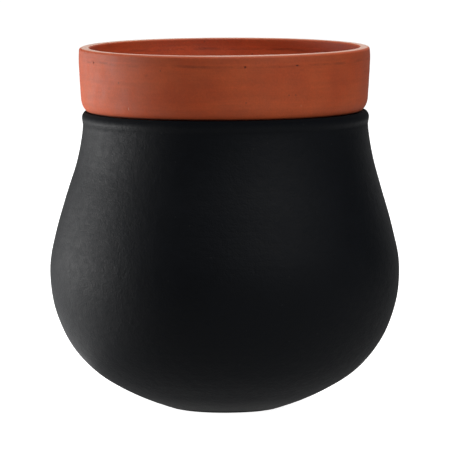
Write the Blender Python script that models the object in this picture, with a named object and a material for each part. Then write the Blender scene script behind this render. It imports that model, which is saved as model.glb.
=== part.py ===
"""A two-piece plant pot, modelled in metres with +Z up, standing on the plane z = 0.

outer_pot is a round-bottomed black clay vessel that holds water. inner_pot is a terracotta plant pot
that hangs in it: its thick collar rests on the vessel's rim, and its tapered body reaches down inside.
Each piece is a turned shape, so each is one closed outline of radius and height, spun about Z.
"""

import math

import bmesh
import bpy

SEGMENTS = 64  # flats round each piece
CHORD_GAP = 0.0001  # the most that a chord of an arc stands off it
LARGEST_STEP = 22.5  # degrees that one chord may take
WELD = 1e-6

# Headings in the plane of radius (to the right) and height (up), in degrees
OUTWARD = 0.0
UP = 90.0
INWARD = 180.0
DOWN = 270.0

# Outer pot. Its wall leaves the belly, which is its widest place, upwards to the neck and downwards to
# the foot. Each way it is a chain of arcs, (radius, turn in degrees), and a positive turn curls towards
# the axis.
BELLY_RADIUS = 0.0750
BELLY_TO_NECK = ((0.052, 13.0), (0.330, 5.0), (0.110, -11.0))
BELLY_TO_FOOT = ((0.059, 24.5), (0.052, 14.5), (0.050, 19.5), (0.108, 17.0))
VESSEL_WALL = 0.0048
FLOOR_BEND = (0.020, 22.5)  # inside, the last arc of the wall ends early and bends into the flat floor

# Outer pot's foot: a flat ring round a shallow recess
RECESS_RADIUS = 0.0145
RECESS_DEPTH = 0.0010
RECESS_BEVEL = 0.0010

# Outer pot's rim: a flat seat inside a raised crest, whose outside is a bead over a shallow groove. The
# bead is a chain of arcs, (radius, turn in degrees), from the seat over the crest and down its side.
RIM_HEIGHT = 0.1277
MOUTH_RADIUS = 0.0562
MOUTH_CORNER = 0.0008
SEAT_RADIUS = 0.05853
SEAT_RISE = (0.0030, 14.0)  # the arc that leads up from the seat to the crest
SEAT_SLOPE = 0.0006
BEAD_ARCS = ((0.0009, -60.0), (0.0032, -44.0), (0.0085, -15.0))
GROOVE_SLOPE = 0.0004
GROOVE_ARC = (0.0015, 22.0)  # the bottom of the groove, where the bead runs out into the neck

# Inner pot's collar
REST_GAP = 0.0003  # between the rim and the collar that rests on it
COLLAR_BOTTOM = RIM_HEIGHT + REST_GAP
POT_TOP = 0.1555
LIP_MIDDLE = 0.06015
LIP_WIDTH = 0.0045
LIP_CORNER = 0.0013  # outside
LIP_INNER_CORNER = 0.0008
COLLAR_FLARE = 4.5  # degrees that the collar leans out under its lip
COLLAR_DRAFT = 3.6  # degrees that it leans in below its widest place
COLLAR_CURVE = 0.045
COLLAR_CORNER = ((0.008, 40.0), (0.0015, 46.4))

# Inner pot's body
NECK_RADIUS = 0.0544
NECK_FILLET = 0.0014
BODY_DRAFT = 9.2  # degrees that the body's wall leans in, outside and inside
BODY_BOTTOM = 0.0380
BODY_CORNER = 0.0060
BODY_FLOOR = 0.0065
FLOOR_CORNER = 0.0060
MOUTH_DRAFT = 2.0  # degrees that the inner wall leans in just under the lip
FUNNEL_TOP = 0.1532  # where that wall starts to bend
FUNNEL_BENDS = ((0.038, 22.0), (0.085, -14.8))
DRAIN_RADIUS = 0.0070
DRAIN_BEVEL = 0.0010


class Outline:
    """A path of straight and round stretches in the plane of radius and height."""

    def __init__(self, radius, height, heading):
        self.points = [(radius, height)]
        self.heading = heading

    def line_to(self, radius, height):
        self.points.append((radius, height))
        return self

    def on(self, length):
        """Goes straight on along the heading."""
        along = math.radians(self.heading)
        last_radius, last_height = self.points[-1]
        return self.line_to(last_radius + length * math.cos(along), last_height + length * math.sin(along))

    def down_to(self, height):
        """Goes straight on along the heading until it reaches a height."""
        last_radius, last_height = self.points[-1]
        run = (height - last_height) / math.tan(math.radians(self.heading))
        return self.line_to(last_radius + run, height)

    def arc(self, radius, turn):
        """Follows a circle through turn degrees, to the left if turn is positive."""
        finest = math.degrees(2 * math.acos(1 - CHORD_GAP / radius))
        steps = math.ceil(abs(turn) / min(finest, LARGEST_STEP))
        step = turn / steps
        chord = 2 * radius * math.sin(math.radians(abs(step)) / 2)
        for _ in range(steps):
            self.heading += step / 2
            self.on(chord)
            self.heading += step / 2
        return self


def wall(start_height, heading, stretches, inset=0.0):
    """The outline of the outer pot's wall from the belly, up or down, or of a surface inset from it."""
    side = 1 if heading == UP else -1
    outline = Outline(BELLY_RADIUS - inset, start_height, heading)
    for radius, turn in stretches:
        outline.arc(radius - math.copysign(inset, turn), side * turn)
    return outline.points


def belly_height():
    """How far the belly stands above the foot, which is where the lower wall ends."""
    return -wall(0.0, DOWN, BELLY_TO_FOOT)[-1][1]


def bead_outline():
    """From the seat over the crest, down the bead and through the groove under it."""
    outline = Outline(SEAT_RADIUS, RIM_HEIGHT, OUTWARD).arc(*SEAT_RISE).on(SEAT_SLOPE)
    for radius, turn in BEAD_ARCS:
        outline.arc(radius, turn)
    return outline.on(GROOVE_SLOPE).arc(*GROOVE_ARC).points


def outer_pot_outline():
    middle = belly_height()
    outside = bead_outline()
    outside += reversed(wall(middle, UP, BELLY_TO_NECK))
    outside += wall(middle, DOWN, BELLY_TO_FOOT)[1:]
    foot = [(RECESS_RADIUS, 0.0), (RECESS_RADIUS - RECESS_BEVEL, RECESS_DEPTH), (0.0, RECESS_DEPTH)]

    last_radius, last_turn = BELLY_TO_FOOT[-1]
    bend_radius, bend_turn = FLOOR_BEND
    turned = sum(turn for _, turn in BELLY_TO_FOOT[:-1])
    floor_arcs = (
        (last_radius, 90 - turned - bend_turn),
        (bend_radius + VESSEL_WALL, bend_turn),
    )
    inside = Outline(MOUTH_RADIUS + MOUTH_CORNER, RIM_HEIGHT, INWARD).arc(MOUTH_CORNER, 90).points
    inside += reversed(wall(middle, UP, BELLY_TO_NECK, VESSEL_WALL))
    inside += wall(middle, DOWN, BELLY_TO_FOOT[:-1] + floor_arcs, VESSEL_WALL)[1:]
    inside.append((0.0, inside[-1][1]))
    return outside + foot + inside[::-1]


def inner_pot_outline():
    outside = Outline(LIP_MIDDLE, POT_TOP, OUTWARD).on(LIP_WIDTH / 2 - LIP_CORNER)
    outside.arc(LIP_CORNER, COLLAR_FLARE - 90)
    outside.arc(COLLAR_CURVE, -COLLAR_FLARE - COLLAR_DRAFT)
    corner_height = sum_of_drops(COLLAR_CORNER, COLLAR_DRAFT)
    outside.down_to(COLLAR_BOTTOM + corner_height)
    for radius, turn in COLLAR_CORNER:
        outside.arc(radius, -turn)
    outside.line_to(NECK_RADIUS + NECK_FILLET, COLLAR_BOTTOM)
    outside.arc(NECK_FILLET, 90 - BODY_DRAFT)
    outside.down_to(BODY_BOTTOM + BODY_CORNER * (1 - math.sin(math.radians(BODY_DRAFT))))
    outside.arc(BODY_CORNER, BODY_DRAFT - 90)

    floor = BODY_BOTTOM + BODY_FLOOR
    inside = Outline(LIP_MIDDLE, POT_TOP, INWARD).on(LIP_WIDTH / 2 - LIP_INNER_CORNER)
    inside.arc(LIP_INNER_CORNER, 90 - MOUTH_DRAFT).down_to(FUNNEL_TOP)
    for radius, turn in FUNNEL_BENDS:
        inside.arc(radius, -turn)
    inside.down_to(floor + FLOOR_CORNER * (1 - math.sin(math.radians(BODY_DRAFT))))
    inside.arc(FLOOR_CORNER, BODY_DRAFT - 90)

    drain = [
        (DRAIN_RADIUS + DRAIN_BEVEL, BODY_BOTTOM),
        (DRAIN_RADIUS, BODY_BOTTOM + DRAIN_BEVEL),
        (DRAIN_RADIUS, floor - DRAIN_BEVEL),
        (DRAIN_RADIUS + DRAIN_BEVEL, floor),
    ]
    return outside.points + drain + inside.points[:0:-1]


def sum_of_drops(arcs, lean):
    """How far down a chain of arcs goes that starts lean degrees off the vertical and curls inwards."""
    drop = 0.0
    for radius, turn in arcs:
        drop += radius * (math.sin(math.radians(lean + turn)) - math.sin(math.radians(lean)))
        lean += turn
    return drop


def clay(name, colour, roughness):
    material = bpy.data.materials.new(name)
    material.use_nodes = True
    shader = material.node_tree.nodes["Principled BSDF"]
    shader.inputs["Base Color"].default_value = (*colour, 1.0)
    shader.inputs["Roughness"].default_value = roughness
    shader.inputs["Metallic"].default_value = 0.0
    return material


def turned_piece(name, outline, material):
    """Spins a closed outline about Z. An outline that starts and ends on the axis is closed by it."""
    shape = bmesh.new()
    corners = [shape.verts.new((radius, 0.0, height)) for radius, height in outline]
    pairs = zip(corners, corners[1:] + corners[:1])
    edges = [shape.edges.new(pair) for pair in pairs if pair[0].co.x > 0 or pair[1].co.x > 0]
    bmesh.ops.spin(
        shape,
        geom=corners + edges,
        cent=(0.0, 0.0, 0.0),
        axis=(0.0, 0.0, 1.0),
        angle=math.tau,
        steps=SEGMENTS,
        use_merge=True,
    )
    bmesh.ops.remove_doubles(shape, verts=shape.verts, dist=WELD)
    bmesh.ops.recalc_face_normals(shape, faces=shape.faces)
    mesh = bpy.data.meshes.new(name)
    shape.to_mesh(mesh)
    shape.free()
    mesh.shade_smooth()
    mesh.set_sharp_from_angle(angle=math.radians(35))
    mesh.materials.append(material)
    piece = bpy.data.objects.new(name, mesh)
    bpy.context.scene.collection.objects.link(piece)
    return piece


def main():
    for old in list(bpy.data.objects):
        bpy.data.objects.remove(old)
    black = clay("black_clay", (0.012, 0.013, 0.014), 0.55)
    terracotta = clay("terracotta", (0.40, 0.13, 0.065), 0.85)
    turned_piece("outer_pot", outer_pot_outline(), black)
    turned_piece("inner_pot", inner_pot_outline(), terracotta)


main()
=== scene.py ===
"""The looks of the two-piece plant pot: a matt black clay vessel and the terracotta pot that hangs in it.

Each piece is turned again from the CAD node's own outline, with the facets rounded out, the slight
unevenness that clay keeps from the wheel, and its pits and stains. The colours and the grain of the
clays are node textures, in metres on the piece.
"""

import math
from typing import NamedTuple

import bmesh
import bpy
import numpy as np
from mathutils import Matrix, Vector


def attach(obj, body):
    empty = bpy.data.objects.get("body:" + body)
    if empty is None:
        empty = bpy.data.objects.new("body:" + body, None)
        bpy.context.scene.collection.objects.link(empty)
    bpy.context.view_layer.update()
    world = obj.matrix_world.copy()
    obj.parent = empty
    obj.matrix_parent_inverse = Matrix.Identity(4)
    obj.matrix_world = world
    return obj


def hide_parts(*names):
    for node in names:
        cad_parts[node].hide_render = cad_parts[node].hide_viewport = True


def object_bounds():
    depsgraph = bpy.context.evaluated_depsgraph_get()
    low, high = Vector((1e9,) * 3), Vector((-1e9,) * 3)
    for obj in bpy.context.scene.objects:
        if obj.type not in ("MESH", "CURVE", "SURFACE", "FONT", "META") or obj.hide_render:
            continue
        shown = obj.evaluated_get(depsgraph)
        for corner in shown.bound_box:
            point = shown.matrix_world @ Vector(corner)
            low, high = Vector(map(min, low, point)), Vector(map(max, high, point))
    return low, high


MM = 0.001

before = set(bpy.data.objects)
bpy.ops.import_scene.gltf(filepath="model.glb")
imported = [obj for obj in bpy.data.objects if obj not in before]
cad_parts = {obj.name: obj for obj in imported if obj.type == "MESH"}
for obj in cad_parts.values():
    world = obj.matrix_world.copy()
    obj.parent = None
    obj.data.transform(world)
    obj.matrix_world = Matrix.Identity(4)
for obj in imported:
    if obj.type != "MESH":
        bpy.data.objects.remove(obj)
cad_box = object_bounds()

POT_TOP = cad_box[1][2]
JOINT = 128 * MM  # how far up the plant pot's collar lies on the vessel's rim

# ---------------------------------------------------------------- outlines

CORNER_DEGREES = 32  # an outline that turns more than this at a point has an edge there
STEP_DEGREES = 4.5  # the most that a rounded stretch turns from point to point


def section_links(mesh):
    """The (radius, height) points of a turned mesh that lie over +X, each with its neighbours there."""
    spots = {}
    for vertex in mesh.vertices:
        x, y, z = vertex.co
        if abs(y) < 1e-6 and x > 1e-6:
            spots[vertex.index] = (round(x, 6), round(z, 6))
    links = {}
    for edge in mesh.edges:
        a, b = (spots.get(i) for i in edge.vertices)
        if a and b and a != b:
            links.setdefault(a, set()).add(b)
            links.setdefault(b, set()).add(a)
    return links


def section(node):
    """The half outline of a turned CAD node, as ordered (radius, height) points, and whether it is a loop.

    A flat ring or disc can be one large face, with no edge along the section. It leaves a gap between two
    points at one height, or between a point and the axis.
    """
    links = section_links(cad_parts[node].data)
    ends = sorted((spot for spot in links if len(links[spot]) == 1), key=lambda spot: spot[1])
    start = ends[0] if ends else min(links, key=lambda spot: (spot[1], -spot[0]))
    path = [start]
    while onward := [spot for spot in sorted(links[path[-1]], reverse=True) if spot not in path]:
        path.append(onward[0])
    loop = not ends or path[0][1] == path[-1][1]
    if not loop:
        path = [(0.0, path[0][1]), *path, (0.0, path[-1][1])]
    return np.array(path), loop


def heading_change(a, b):
    """The turn from heading a to heading b, within half a circle either way."""
    return (b - a + math.pi) % math.tau - math.pi


def stretch(start, run, leaving, arriving, steps):
    """Points along one rounded stretch, from start up to but not including its far end."""
    length = np.hypot(*run)
    leave = length * np.array((math.cos(leaving), math.sin(leaving)))
    arrive = length * np.array((math.cos(arriving), math.sin(arriving)))
    t = np.arange(steps)[:, None] / steps
    return (
        (2 * t**3 - 3 * t**2 + 1) * start
        + (t**3 - 2 * t**2 + t) * leave
        + (3 * t**2 - 2 * t**3) * (start + run)
        + (t**3 - t**2) * arrive
    )


def end_headings(runs, loop):
    """The headings at the start and end of each run, so that curves there join smoothly."""
    lengths = [float(np.hypot(*run)) for run in runs]
    headings = [math.atan2(run[1], run[0]) for run in runs]
    leaving, arriving = list(headings), list(headings)
    for i in range(1, len(runs) + (1 if loop else 0)):
        before, after = i - 1, i % len(runs)
        turn = heading_change(headings[before], headings[after])
        if abs(turn) < math.radians(CORNER_DEGREES):
            share = lengths[after] / (lengths[before] + lengths[after])
            arriving[before] = headings[before] + turn * share
            leaving[after] = headings[after] - turn * (1 - share)
    return leaving, arriving


def rounded(points, loop, spacing):
    """Puts curved stretches in place of an outline's chords. spacing(height) is the longest step there."""
    count = len(points)
    runs = [points[(i + 1) % count] - points[i] for i in range(count if loop else count - 1)]
    leaving, arriving = end_headings(runs, loop)
    smooth = []
    for i, run in enumerate(runs):
        bend = abs(heading_change(leaving[i], arriving[i])) / math.radians(STEP_DEGREES)
        reach = np.hypot(*run) / spacing(points[i][1] + run[1] / 2)
        steps = max(1, math.ceil(max(bend, reach)))
        smooth.append(stretch(points[i], run, leaving[i], arriving[i], steps))
    if not loop:
        smooth.append(points[-1:])
    outline = np.concatenate(smooth)
    outline[:, 1] = np.maximum(outline[:, 1], 0)
    return outline


def normals_of(outline, loop):
    """Unit normals of an outline, out of the clay, which lies to the left of the way it runs."""
    along = np.roll(outline, -1, axis=0) - np.roll(outline, 1, axis=0)
    if not loop:
        along[0] = outline[1] - outline[0]
        along[-1] = outline[-1] - outline[-2]
    along /= np.hypot(along[:, 0], along[:, 1])[:, None]
    return np.stack([along[:, 1], -along[:, 0]], axis=1)


# ---------------------------------------------------------------- turned pieces

# The vessel's rim is a little high and out of level, and the plant pot lies on it
RIM_RISE = 0.15 * MM
RIM_TILT = 0.0045
HIGH_SIDE = 75  # degrees from the front towards +X

SEGMENTS = 360  # flats round each piece
CALM_RADIUS = 8 * MM  # the relief fades out from here to the axis
SHARP_DEGREES = 40  # faces that meet at more than this have an edge between them
PIT_CUTS = 4  # how finely the faces under a pit are cut
SHALLOW = 0.08  # a mark this many mm deep or less needs no finer faces


class Mark(NamedTuple):
    """A pit, scratch or stain on the outer wall. Its height and sizes are in millimetres."""

    azimuth: float  # degrees from the front towards +X
    height: float
    half_width: float
    half_height: float
    depth: float
    darkness: float  # 1 is nearly black, and below 0 is pale


def towards(azimuth):
    """The angle from +X of a direction that is given from the front (-Y) towards +X."""
    return math.radians(azimuth - 90)


def off_centre(mark, points):
    """How far points are from the middle of a mark, where 1 is its edge."""
    angle = np.arctan2(points[:, 1], points[:, 0])
    turn = heading_change(towards(mark.azimuth), angle)
    across = turn * np.hypot(points[:, 0], points[:, 1]) / (mark.half_width * MM)
    return np.hypot(across, (points[:, 2] - mark.height * MM) / (mark.half_height * MM))


def vectors(items, attribute):
    """One vector attribute of all of a mesh's vertices or faces, as rows of an array."""
    values = np.empty(3 * len(items))
    items.foreach_get(attribute, values)
    return values.reshape(-1, 3)


def faces_out(points, normals):
    """Whether each point of a surface faces away from the axis, as the outer wall does."""
    return (points[:, :2] * normals[:, :2]).sum(axis=1) > 0.5 * np.hypot(points[:, 0], points[:, 1])


def refine_under(mesh, marks):
    """Cuts the faces under the deeper marks into finer ones."""
    centres, normals = vectors(mesh.polygons, "center"), vectors(mesh.polygons, "normal")
    outer = faces_out(centres, normals)
    chosen = set()
    for mark in marks:
        if mark.depth > SHALLOW:
            margin = 1 + 0.5 / min(mark.half_width, mark.half_height)
            chosen |= set(np.flatnonzero(outer & (off_centre(mark, centres) < margin)).tolist())
    shape = bmesh.new()
    shape.from_mesh(mesh)
    shape.faces.ensure_lookup_table()
    edges = {edge for index in sorted(chosen) for edge in shape.faces[index].edges}
    edges = sorted(edges, key=lambda edge: edge.index)
    bmesh.ops.subdivide_edges(shape, edges=edges, cuts=PIT_CUTS, use_grid_fill=True)
    shape.to_mesh(mesh)
    shape.free()


def mark_clay(mesh, marks):
    """Presses the marks into the outer wall and writes how dark each point is as the attribute stain."""
    points, normals = vectors(mesh.vertices, "co"), vectors(mesh.vertices, "normal")
    outer = faces_out(points, normals)
    stain = np.zeros(len(points))
    moved = points.copy()
    for mark in marks:
        fall = np.where(outer, np.clip(1 - off_centre(mark, points) ** 2, 0, 1), 0)
        moved -= normals * (fall**1.5 * mark.depth * MM)[:, None]
        stain += mark.darkness * fall
    mesh.vertices.foreach_set("co", moved.ravel())
    mesh.attributes.new("stain", "FLOAT", "POINT").data.foreach_set("value", stain)


def turned_points(outline, normal, relief, sway, share):
    """The points of a turned surface, as a grid of segments and then steps along the outline."""
    angle = np.linspace(0, math.tau, SEGMENTS, endpoint=False)[:, None]
    radius, height = outline[None, :, 0], outline[None, :, 1]
    proud = relief(angle, radius, height, normal) * np.clip(radius / CALM_RADIUS, 0, 1)
    rise = share(height) * (RIM_RISE + RIM_TILT * radius * np.cos(angle - towards(HIGH_SIDE)))
    r = radius + proud * normal[None, :, 0]
    z = np.maximum(height + proud * normal[None, :, 1] + rise, 0)
    return np.stack([r * np.cos(angle) + sway(height), r * np.sin(angle), z], axis=2)


def skin(name, points, loop):
    """A closed mesh over a grid of points, whose rows meet themselves if the outline is a loop."""
    segments, steps = points.shape[:2]
    index = np.arange(segments * steps).reshape(segments, steps)
    onward = np.roll(index, -1, axis=0)
    above, above_onward = np.roll(index, -1, axis=1), np.roll(onward, -1, axis=1)
    quads = np.stack([index, onward, above_onward, above], axis=2)
    if not loop:
        quads = quads[:, :-1]
    mesh = bpy.data.meshes.new(name)
    mesh.from_pydata(points.reshape(-1, 3).tolist(), [], quads.reshape(-1, 4).tolist())
    shape = bmesh.new()
    shape.from_mesh(mesh)
    bmesh.ops.remove_doubles(shape, verts=shape.verts, dist=1e-7)
    bmesh.ops.recalc_face_normals(shape, faces=shape.faces)
    shape.to_mesh(mesh)
    shape.free()
    return mesh


def turned(name, node, spacing, relief, sway, share, marks):
    """A turned piece in place of a CAD node.

    relief(angle, radius, height, normal) is how far its surface stands proud, sway(height) is how far its
    middle lies to +X, and share(height) is how much of the rim's rise it takes.
    """
    points, loop = section(node)
    outline = rounded(points, loop, spacing)
    x, y = outline.T
    if (x * np.roll(y, -1) - y * np.roll(x, -1)).sum() < 0:
        outline = outline[::-1]
    surface = turned_points(outline, normals_of(outline, loop), relief, sway, share)
    mesh = skin(name, surface, loop)
    refine_under(mesh, marks)
    mark_clay(mesh, marks)
    mesh.shade_smooth()
    mesh.set_sharp_from_angle(angle=math.radians(SHARP_DEGREES))
    piece = bpy.data.objects.new(name, mesh)
    bpy.context.scene.collection.objects.link(piece)
    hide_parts(node)
    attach(piece, node)
    return piece


# ---------------------------------------------------------------- what the hand leaves


def out_of_round(angle, height, size):
    """Slow swellings round a piece, which shift with height. size is the largest of them."""
    two = np.cos(2 * angle + 0.7 + 9 * height)
    three = np.cos(3 * angle - 0.4 - 14 * height)
    five = np.cos(5 * angle + 2.1 + 30 * height)
    return size * (0.6 * two + 0.27 * three + 0.13 * five)


def rings(angle, along, wavelength, size, wander=0.3):
    """Finger or tool rings: waves along a wall that wander a little on their way round."""
    shift = wander * np.sin(angle + 1.3) + 0.4 * wander * np.sin(3 * angle + along / (4 * wavelength))
    swell = 0.7 + 0.3 * np.sin(2 * angle + along / (1.7 * wavelength))
    return size * swell * np.sin(math.tau * (along / wavelength + shift))


def smooth_step(value, low, high):
    """0 below low and 1 above high, with a soft rise between them."""
    t = np.clip((value - low) / (high - low), 0, 1)
    return t * t * (3 - 2 * t)


def blend(share, a, b):
    return a + (b - a) * share


def vessel_spacing(height):
    return 0.7 * MM if height > 117 * MM else 2.2 * MM


def vessel_relief(angle, radius, height, normal):
    outer = rings(angle, height, 17 * MM, 0.035 * MM) + rings(angle, height, 4.1 * MM, 0.006 * MM)
    inner = rings(angle, height - radius, 11 * MM, 0.22 * MM)
    under = rings(angle, radius, 1.3 * MM, 0.03 * MM, 0.1)
    outer = blend(smooth_step(-normal[:, 1], 0.85, 0.98), outer, under)
    wall = blend(smooth_step(normal[:, 1] - normal[:, 0], -0.3, 0.3), outer, inner)
    near_rim = 1 - smooth_step(height, 112 * MM, 121 * MM)
    return out_of_round(angle, height, 0.12 * MM) + wall * near_rim


def vessel_sway(height):
    """The neck leans a little to +X of the belly."""
    return 0.3 * MM * smooth_step(height, 90 * MM, 112 * MM)


def vessel_share(height):
    return smooth_step(height, 60 * MM, 115 * MM)


def plant_pot_spacing(height):
    return 1.2 * MM if height > 127 * MM else 3.0 * MM


def plant_pot_relief(angle, radius, height, normal):
    flat = rings(angle, radius, 2.6 * MM, 0.05 * MM, 0.12) * (1 - smooth_step(height, 60 * MM, 120 * MM))
    inner = rings(angle, height, 7 * MM, 0.05 * MM) + rings(angle, height, 2.3 * MM, 0.012 * MM)
    outer = rings(angle, height, 6.3 * MM, 0.018 * MM) + rings(angle, height, 1.9 * MM, 0.006 * MM)
    wall = blend(smooth_step(-normal[:, 0], 0.3, 0.9), outer, inner)
    wall = blend(smooth_step(np.abs(normal[:, 1]), 0.4, 0.9), wall, flat)
    return out_of_round(angle, height, 0.1 * MM) + wall


def plant_pot_sway(height):
    """The pot hangs a little to -X of the vessel's axis."""
    return np.full_like(height, -0.15 * MM)


def plant_pot_share(height):
    return np.ones_like(height)


COLLAR_MARKS = (
    Mark(-62.8, 150.7, 0.60, 0.50, 0.35, 0.9),
    Mark(7.9, 151.0, 0.55, 0.60, 0.40, 0.95),
    Mark(21.5, 150.9, 0.40, 0.40, 0.15, 0.5),
    Mark(29.3, 151.25, 0.80, 0.45, 0.35, 0.85),
    Mark(31.5, 149.4, 1.30, 0.35, 0.05, 0.3),
    Mark(-31.8, 147.0, 0.90, 1.20, 0.05, 0.35),
    Mark(-52.0, 140.5, 1.60, 1.30, 0.04, 0.3),
    Mark(-41.6, 132.3, 0.28, 0.95, 0.12, -0.8),
    Mark(-22.0, 136.4, 2.40, 1.00, 0.02, 0.12),
    Mark(74.0, 146.2, 0.50, 0.45, 0.25, 0.7),
    Mark(112.0, 150.9, 0.60, 0.40, 0.30, 0.9),
    Mark(139.0, 141.8, 0.45, 0.50, 0.20, -0.7),
    Mark(171.0, 151.3, 0.55, 0.45, 0.35, 0.9),
    Mark(-158.0, 144.1, 1.20, 0.80, 0.05, 0.4),
    Mark(-131.0, 151.1, 0.70, 0.40, 0.25, 0.8),
    Mark(-97.0, 138.5, 0.45, 0.45, 0.20, 0.8),
)
VESSEL_MARKS = (
    Mark(-58.0, 42.5, 1.60, 0.30, 0.02, -0.5),
    Mark(-49.0, 57.0, 1.00, 0.35, 0.02, -0.25),
    Mark(63.0, 81.0, 0.40, 0.35, 0.15, 0.6),
    Mark(121.0, 49.0, 2.20, 0.30, 0.02, -0.4),
    Mark(-139.0, 93.0, 0.45, 0.40, 0.15, 0.6),
    Mark(166.0, 64.0, 0.50, 0.40, 0.15, 0.5),
    Mark(-108.0, 30.0, 1.40, 0.28, 0.02, -0.4),
)


# ---------------------------------------------------------------- clays


class Clay:
    """A Principled material and short ways to add nodes to it."""

    def __init__(self, name, roughness, specular):
        self.material = bpy.data.materials.new(name)
        self.material.use_nodes = True
        self.tree = self.material.node_tree
        self.shader = self.tree.nodes["Principled BSDF"]
        self.shader.inputs["Roughness"].default_value = roughness
        self.shader.inputs["Specular IOR Level"].default_value = specular
        self.place = self.node("TexCoord", {}).outputs["Object"]
        self.above_table = self.node("SeparateXYZ", {0: self.place}).outputs["Z"]
        self.height = self.difference(self.above_table, self.rim_rise())
        self.stain = self.node("Attribute", {}, attribute_name="stain").outputs["Fac"]

    def rim_rise(self):
        """How far the rim's rise has lifted each place, for heights as they were turned."""
        slope = [RIM_TILT * part(towards(HIGH_SIDE)) for part in (math.cos, math.sin)]
        tilt = self.node("VectorMath", {0: self.place, 1: (*slope, 0.0)}, operation="DOT_PRODUCT")
        return self.sum(tilt.outputs["Value"], RIM_RISE)

    def node(self, kind, inputs, **settings):
        """A new shader node, with values or links for some of its inputs."""
        node = self.tree.nodes.new("ShaderNode" + kind)
        for key, value in settings.items():
            setattr(node, key, value)
        for key, value in inputs.items():
            self.feed(node.inputs[key], value)
        return node

    def feed(self, socket, value):
        if isinstance(value, bpy.types.NodeSocket):
            self.tree.links.new(value, socket)
        else:
            socket.default_value = value

    def sum(self, a, b):
        return self.node("Math", {0: a, 1: b}, operation="ADD").outputs[0]

    def difference(self, a, b):
        return self.node("Math", {0: a, 1: b}, operation="SUBTRACT").outputs[0]

    def product(self, a, b):
        return self.node("Math", {0: a, 1: b}, operation="MULTIPLY").outputs[0]

    def step(self, value, low, high, start=0.0, end=1.0):
        """From start to end as value goes from low to high, with soft ends."""
        inputs = {"Value": value, "From Min": low, "From Max": high, "To Min": start, "To Max": end}
        return self.node("MapRange", inputs, interpolation_type="SMOOTHSTEP").outputs[0]

    def band(self, value, low, middle, high):
        """1 where value is at the middle, and 0 below low and above high."""
        return self.product(self.step(value, low, middle), self.step(value, high, middle))

    def flattened(self, factor):
        """The place with its height scaled up, so that a texture's features are wide and low."""
        scale = {"Vector": self.place, "Scale": (1, 1, factor)}
        return self.node("Mapping", scale).outputs[0]

    def noise(self, place, size, detail=2.0, roughness=0.5):
        """Soft noise from 0 to 1, with features of about this size in metres."""
        inputs = {"Vector": place, "Scale": 1 / size, "Detail": detail, "Roughness": roughness}
        return self.node("TexNoise", inputs).outputs[0]

    def about_one(self, value, size):
        """Turns noise round 0.5 into a factor round 1."""
        return self.node("Math", {0: value, 1: size, 2: 1 - size / 2}, operation="MULTIPLY_ADD").outputs[0]

    def turning_lines(self, size, wander):
        """Noise that depends on height alone, but for a slow wander, as a tool leaves on a turned wall."""
        slow = self.product(self.noise(self.place, 60 * MM, 1.0), wander)
        height = self.sum(self.height, slow)
        inputs = {"W": height, "Scale": 1 / size, "Detail": 2.0, "Roughness": 0.6}
        return self.node("TexNoise", inputs, noise_dimensions="1D").outputs[0]

    def specks(self, cell, radius, share):
        """1 on scattered grains. radius is in parts of a cell, and share is how many cells hold a grain."""
        cells = self.node("TexVoronoi", {"Vector": self.place, "Scale": 1 / cell})
        grain = self.step(cells.outputs["Distance"], radius, radius * 0.6)
        draw = self.node("SeparateColor", {0: cells.outputs["Color"]}).outputs[0]
        held = self.node("Math", {0: draw, 1: share}, operation="LESS_THAN").outputs[0]
        return self.product(grain, held)

    def mix(self, factor, a, b):
        """Colour a where factor is 0, and colour b where it is 1."""
        return self.node("Mix", {0: factor, 6: a, 7: b}, data_type="RGBA").outputs[2]

    def valued(self, colour, value):
        """The colour made lighter or darker by a factor."""
        return self.node("HueSaturation", {"Color": colour, "Value": value}).outputs[0]

    def bump(self, heights):
        """Bump from (height socket, metres) pairs, laid over each other."""
        normal = None
        for value, distance in heights:
            inputs = {"Height": value, "Distance": distance, "Strength": 1.0}
            if normal:
                inputs["Normal"] = normal
            normal = self.node("Bump", inputs).outputs[0]
        self.feed(self.shader.inputs["Normal"], normal)


def rgba(red, green, blue):
    return (red, green, blue, 1.0)


def score_line(clay):
    """How much darker the collar is along the broken line that a tool has scored under its lip."""
    wavering = clay.sum(clay.height, clay.product(clay.noise(clay.place, 25 * MM), 2.2 * MM))
    below = clay.step(wavering, POT_TOP - 4.3 * MM, POT_TOP - 3.7 * MM)
    above = clay.step(wavering, POT_TOP - 2.5 * MM, POT_TOP - 3.3 * MM)
    broken = clay.step(clay.noise(clay.flattened(3), 10 * MM, 3.0, 0.6), 0.38, 0.66, 0.04, 0.30)
    return clay.product(clay.product(below, above), broken)


def terracotta_value(clay, streaks, patches):
    """How light each place is, from streaks, patches, tool lines, grain, a slightly darker band along the
    collar's top, and painted shade along its lower edge where it lies over the vessel's rim.
    """
    lines = clay.turning_lines(1.6 * MM, 3.5 * MM)
    grain = clay.noise(clay.place, 0.9 * MM, 2.0, 0.7)
    value = clay.product(clay.about_one(streaks, 0.34), clay.about_one(lines, 0.10))
    value = clay.product(value, clay.about_one(patches, 0.28))
    value = clay.product(value, clay.about_one(grain, 0.30))
    value = clay.difference(value, score_line(clay))
    under_lip = clay.step(clay.height, POT_TOP - 4.0 * MM, POT_TOP - 3.0 * MM, 1.0, 0.9)
    # Painted shade: the collar's lower edge is darkened to four tenths where it lies just over the vessel's
    # rim.
    painted_joint_shade = clay.band(clay.height, JOINT - 0.6 * MM, JOINT + 0.1 * MM, JOINT + 1.2 * MM)
    return clay.product(clay.product(value, under_lip), clay.step(painted_joint_shade, 0.0, 1.0, 1.0, 0.4))


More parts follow.
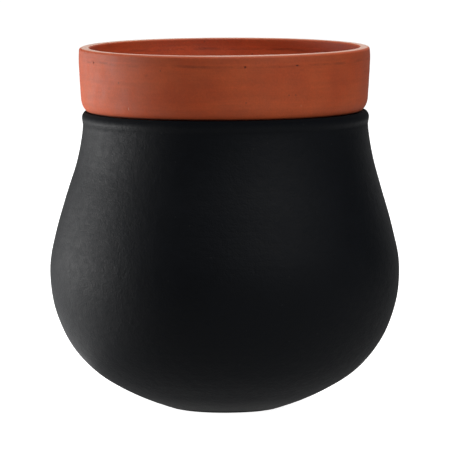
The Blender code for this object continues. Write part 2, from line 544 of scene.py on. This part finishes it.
def terracotta():
    clay = Clay("terracotta", 0.70, 0.6)
    blotches = clay.noise(clay.flattened(1.5), 30 * MM, 4.0, 0.6)
    patches = clay.noise(clay.flattened(0.7), 7.5 * MM, 3.0, 0.6)
    streaks = clay.noise(clay.flattened(7), 20 * MM, 4.0, 0.65)
    # The lip's top: a painted highlight lightens its colour there, and the clay there is also smoother.
    lip = clay.step(clay.height, POT_TOP - 0.25 * MM, POT_TOP - 0.05 * MM)
    dark, pale = rgba(0.56, 0.078, 0.0135), rgba(0.62, 0.104, 0.023)
    dark_specks = clay.product(clay.specks(3 * MM, 0.17, 0.04), 0.40)
    pale_specks = clay.product(clay.specks(4 * MM, 0.11, 0.05), 0.35)

    colour = clay.mix(clay.step(blotches, 0.3, 0.7), dark, pale)
    colour = clay.valued(colour, terracotta_value(clay, streaks, patches))
    colour = clay.mix(dark_specks, colour, rgba(0.12, 0.030, 0.014))
    colour = clay.mix(pale_specks, colour, rgba(0.66, 0.30, 0.16))
    # Painted highlight on the lip's top, as a paler colour.
    colour = clay.mix(clay.product(lip, 0.8), colour, rgba(0.84, 0.46, 0.31))
    colour = clay.mix(clay.step(clay.stain, 0.0, 1.0, 0.0, 0.92), colour, rgba(0.045, 0.014, 0.008))
    colour = clay.mix(clay.step(clay.stain, 0.0, -1.0, 0.0, 0.8), colour, rgba(0.75, 0.42, 0.30))
    clay.feed(clay.shader.inputs["Base Color"], colour)

    rough = clay.step(patches, 0.3, 0.7, 0.66, 0.74)
    clay.feed(clay.shader.inputs["Roughness"], clay.difference(rough, clay.product(lip, 0.36)))
    worn = clay.step(clay.height, POT_TOP - 0.2 * MM, POT_TOP - 0.8 * MM)
    grain = clay.noise(clay.place, 0.9 * MM, 2.0, 0.7)
    uneven = ((streaks, 0.08 * MM), (patches, 0.08 * MM), (grain, 0.07 * MM))
    clay.bump([(clay.product(height, worn), distance) for height, distance in uneven])
    return clay.material


def rim_polish(clay):
    """A factor on the black clay's roughness: dull over the crest, and rubbed smooth along the bead."""
    crest = clay.step(clay.height, JOINT - 3.7 * MM, JOINT - 1.0 * MM, 0.61, 1.0)
    ridge = clay.band(clay.height, JOINT - 5.1 * MM, JOINT - 3.9 * MM, JOINT - 2.6 * MM)
    groove = clay.band(clay.height, JOINT - 6.8 * MM, JOINT - 5.6 * MM, JOINT - 4.8 * MM)
    return clay.sum(clay.difference(crest, clay.product(ridge, 0.11)), clay.product(groove, 0.06))


def black_clay():
    clay = Clay("black_clay", 0.62, 0.2)
    clouds = clay.noise(clay.place, 22 * MM, 3.0, 0.6)
    mottle = clay.noise(clay.flattened(1.3), 4 * MM, 4.0, 0.65)
    grain = clay.noise(clay.place, 0.8 * MM, 2.0, 0.6)
    lines = clay.turning_lines(2 * MM, 3 * MM)
    dark, pale = rgba(0.0018, 0.0030, 0.0052), rgba(0.0026, 0.0038, 0.0062)
    specks = clay.product(clay.specks(3 * MM, 0.14, 0.10), 0.4)
    foot_patchiness = clay.step(mottle, 0.35, 0.65, 0.5, 1.0)
    # Lighter towards the bottom, in patches: partly the rubbed grey of the foot, partly painted light from
    # the table beneath.
    foot_wear_and_painted_light = clay.product(clay.step(clay.above_table, 8.5 * MM, 2 * MM), foot_patchiness)

    colour = clay.mix(clay.step(clouds, 0.3, 0.7), dark, pale)
    colour = clay.valued(colour, clay.product(clay.about_one(mottle, 0.6), clay.about_one(grain, 0.8)))
    colour = clay.mix(specks, colour, rgba(0.030, 0.031, 0.032))
    colour = clay.mix(clay.step(clay.stain, 0.0, -1.0, 0.0, 0.9), colour, rgba(0.10, 0.10, 0.10))
    colour = clay.mix(clay.step(clay.stain, 0.0, 1.0, 0.0, 0.9), colour, rgba(0.0015, 0.0018, 0.002))
    # Painted light from the table over the foot's rubbed grey.
    colour = clay.mix(foot_wear_and_painted_light, colour, rgba(0.045, 0.046, 0.046))
    clay.feed(clay.shader.inputs["Base Color"], colour)

    rough = clay.product(clay.about_one(clouds, 0.14), clay.about_one(mottle, 0.30))
    rough = clay.product(rough, clay.about_one(grain, 0.25))
    clay.feed(clay.shader.inputs["Roughness"], clay.product(rough, rim_polish(clay)))
    clay.bump(((clouds, 0.12 * MM), (mottle, 0.22 * MM), (lines, 0.04 * MM), (grain, 0.12 * MM)))
    return clay.material


vessel = turned(
    "vessel",
    "outer_pot",
    spacing=vessel_spacing,
    relief=vessel_relief,
    sway=vessel_sway,
    share=vessel_share,
    marks=VESSEL_MARKS,
)
vessel.data.materials.append(black_clay())

plant_pot = turned(
    "plant_pot",
    "inner_pot",
    spacing=plant_pot_spacing,
    relief=plant_pot_relief,
    sway=plant_pot_sway,
    share=plant_pot_share,
    marks=COLLAR_MARKS,
)
plant_pot.data.materials.append(terracotta())

# ---------------------------------------------------------------- stage

POT_MIDDLE = Vector((0, 0, 0.08))
TABLE = 0.003  # height of the glowing cards that stand for light off the table

LENS = 586.6  # mm, in front of a sensor 36 mm wide
CAMERA_PLACE = (0.00203, -3.2, 0.3683)
CAMERA_PITCH = 0.0908  # radians that it looks down


def make_floor():
    bpy.ops.mesh.primitive_circle_add(vertices=128, radius=30, fill_type="NGON")
    floor = bpy.context.object
    floor.name = "floor"
    material = bpy.data.materials.new("floor")
    material.use_nodes = True
    shader = material.node_tree.nodes["Principled BSDF"]
    shader.inputs["Base Color"].default_value = rgba(0.8, 0.8, 0.8)
    shader.inputs["Roughness"].default_value = 0.9
    shader.inputs["Emission Color"].default_value = rgba(1, 1, 1)
    shader.inputs["Emission Strength"].default_value = 1.0
    floor.data.materials.append(material)
    floor.visible_glossy = False
    floor.visible_diffuse = False


def rectangle(name, width, height, power):
    light = bpy.data.lights.new(name, "AREA")
    light.shape = "RECTANGLE"
    light.size, light.size_y = width, height
    light.energy = power
    box = bpy.data.objects.new(name, light)
    box.visible_camera = False
    bpy.context.scene.collection.objects.link(box)
    return box


def softbox(name, azimuth, elevation, distance, width, height, power):
    """A softbox that faces the pot. Azimuth 0 is behind the camera, and 90 is to its right."""
    a, e = math.radians(azimuth), math.radians(elevation)
    way = Vector((math.sin(a) * math.cos(e), -math.cos(a) * math.cos(e), math.sin(e)))
    box = rectangle(name, width, height, power)
    box.location = POT_MIDDLE + way * distance
    box.rotation_euler = (-way).to_track_quat("-Z", "Y").to_euler()


def card(name, azimuth, nearest, furthest, width, power):
    """A bright patch of table that faces up, from nearest to furthest away from the pot's axis."""
    a, middle = math.radians(azimuth), (nearest + furthest) / 2
    box = rectangle(name, width, furthest - nearest, power)
    box.location = (math.sin(a) * middle, -math.cos(a) * middle, TABLE)
    box.rotation_euler = (math.pi, 0, a)


def make_lights():
    softbox("left_low", -120, 4, 1.5, 0.52, 0.42, 6.3)
    softbox("left_close", -100, 2, 0.6, 0.2, 0.2, 1.6)
    softbox("front_right", 36, 25, 1.5, 0.58, 0.5, 2.7)
    softbox("front_high", 36, 50, 1.5, 0.62, 0.5, 4.6)
    softbox("right", 60, 25, 1.5, 0.58, 0.5, 0.9)
    softbox("left_high", -108, 30, 1.5, 0.58, 0.5, 1.7)
    softbox("left_front", -64, 50, 1.5, 0.58, 0.5, 0.6)
    softbox("top", 0, 90, 1.5, 0.6, 0.6, 6.8)
    softbox("top_behind", 180, 75, 1.5, 0.6, 0.6, 2.6)
    softbox("back_right", 156, 22, 1.5, 0.58, 0.5, 1.3)
    softbox("back_low", 180, 9, 1.5, 0.45, 0.5, 0.5)
    softbox("back_wide", 165, 5, 1.5, 1.2, 0.3, 0.6)
    softbox("back_high", 180, 50, 1.5, 0.62, 0.5, 2.3)
    card("table_behind", 180, 0.06, 0.20, 0.15, 0.3)
    card("table_left", -115, 0.07, 0.30, 0.22, 0.18)
    table = rectangle("table", 3.0, 3.0, 9.8)
    table.location = (0, 0, TABLE / 3)
    table.rotation_euler = (math.pi, 0, 0)
    world = bpy.data.worlds.new("studio")
    world.use_nodes = True
    world.node_tree.nodes["Background"].inputs["Color"].default_value = rgba(1, 1, 1)
    world.node_tree.nodes["Background"].inputs["Strength"].default_value = 0.01
    bpy.context.scene.world = world
    bpy.context.scene.view_settings.view_transform = "Standard"


def make_camera():
    camera = bpy.data.objects.new("camera", bpy.data.cameras.new("camera"))
    camera.data.sensor_width = 36
    camera.data.lens = LENS
    camera.data.clip_end = 100
    camera.location = CAMERA_PLACE
    camera.rotation_euler = (math.pi / 2 - CAMERA_PITCH, 0, 0)
    bpy.context.scene.collection.objects.link(camera)
    bpy.context.scene.camera = camera


make_floor()
make_lights()
make_camera()
